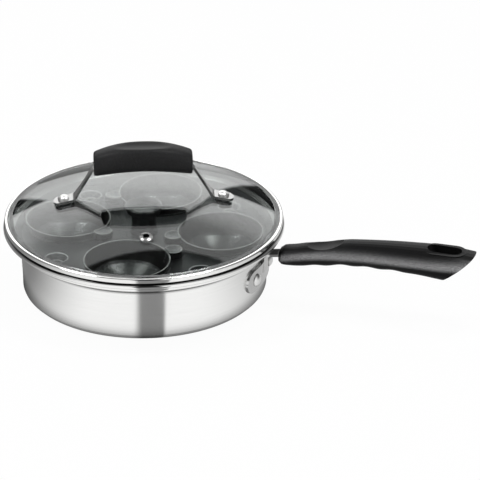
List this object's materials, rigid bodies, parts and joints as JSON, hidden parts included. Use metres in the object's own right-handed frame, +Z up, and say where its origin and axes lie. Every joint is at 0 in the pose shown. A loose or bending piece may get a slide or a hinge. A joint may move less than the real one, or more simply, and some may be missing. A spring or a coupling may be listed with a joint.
{
  "type": "egg poacher pan",
  "caption": "Shallow steel pan with a long handle, a lift-out tray of egg cups and a domed glass lid, for poaching eggs over simmering water.",
  "frame": {"origin": "centre of the underside of the pan's base, on the pan's axis", "axes": "+Z up along the pan's axis, +X along the long handle towards its end, +Y to the left of someone who looks along +X"},
  "size_m": [0.3615, 0.2122, 0.1154],
  "materials": {
    "satin_steel": "satin, turned round the wall",
    "polished_steel": "polished",
    "bracket_steel": "satin",
    "black_phenolic": "satin, finely grained",
    "nonstick_coating": "semi-matt, finely speckled",
    "clear_glass": "clear, polished",
    "black_silicone": "matt"
  },
  "bodies": {
    "pan": {"pan_body": "satin_steel", "handle_bracket": "bracket_steel", "pan_rivets": "polished_steel", "long_handle": "black_phenolic", "tang_screw": "polished_steel", "tang_nut": "polished_steel"},
    "tray": {"poacher_tray": "nonstick_coating", "tray_knob": "black_phenolic", "knob_screw": "polished_steel", "knob_washer": "polished_steel"},
    "lid": {"lid_glass": "clear_glass", "lid_band": "polished_steel", "steam_vent": "polished_steel", "lid_bail": "polished_steel", "lid_grip": "black_phenolic", "bail_screws": "polished_steel", "bail_outer_washers": "black_silicone", "bail_inner_washers": "black_silicone", "bail_nuts": "polished_steel"},
    "cup_right": {"egg_cup_right": "nonstick_coating"},
    "cup_back": {"egg_cup_back": "nonstick_coating"},
    "cup_left": {"egg_cup_left": "nonstick_coating"},
    "cup_front": {"egg_cup_front": "nonstick_coating"}
  },
  "joints": [
    {"name": "tray_lift", "type": "slide", "parent": "pan", "child": "tray", "axis": [0, 0, 1], "range_m": [0, 0.08]},
    {"name": "lid_lift", "type": "slide", "parent": "tray", "child": "lid", "axis": [0, 0, 1], "range_m": [0, 0.12]},
    {"name": "lift_cup_right", "type": "slide", "parent": "tray", "child": "cup_right", "axis": [0, 0, 1], "range_m": [0, 0.0075]},
    {"name": "lift_cup_back", "type": "slide", "parent": "tray", "child": "cup_back", "axis": [0, 0, 1], "range_m": [0, 0.0075]},
    {"name": "lift_cup_left", "type": "slide", "parent": "tray", "child": "cup_left", "axis": [0, 0, 1], "range_m": [0, 0.0075]},
    {"name": "lift_cup_front", "type": "slide", "parent": "tray", "child": "cup_front", "axis": [0, 0, 1], "range_m": [0, 0.0075]}
  ]
}
